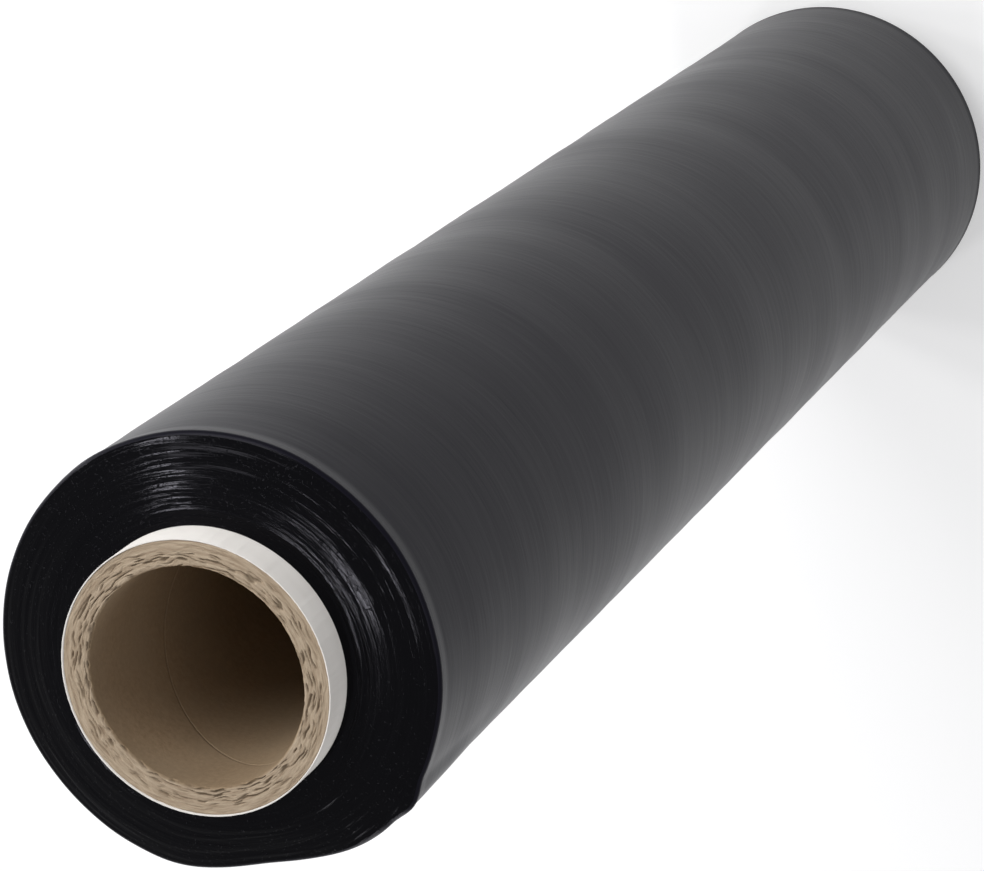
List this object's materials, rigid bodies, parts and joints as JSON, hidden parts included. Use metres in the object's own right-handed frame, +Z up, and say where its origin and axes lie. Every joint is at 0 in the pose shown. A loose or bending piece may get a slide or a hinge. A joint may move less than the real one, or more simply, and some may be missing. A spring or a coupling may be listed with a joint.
{
  "type": "stretch wrap roll",
  "caption": "Roll of black stretch film wound on a longer cardboard core tube with a white outer ply; the open bore takes a dispenser mandrel or hand grips.",
  "frame": {"origin": "centre of the core tube's lower end face, on the roll's axis", "axes": "+Z up along the roll's axis, through the core's bore; the roll stands on the lower end of its core"},
  "size_m": [0.103, 0.1028, 0.518],
  "materials": {
    "black_film": "glossy black stretch film, tightly wound, faintly brushed along the turns",
    "kraft_board": "matt brown kraft board, rough at the cut ends",
    "white_paper": "matt white paper"
  },
  "bodies": {
    "root": {"film_winding": "black_film", "core_tube": "kraft_board", "core_outer_ply": "white_paper"}
  },
  "joints": []
}
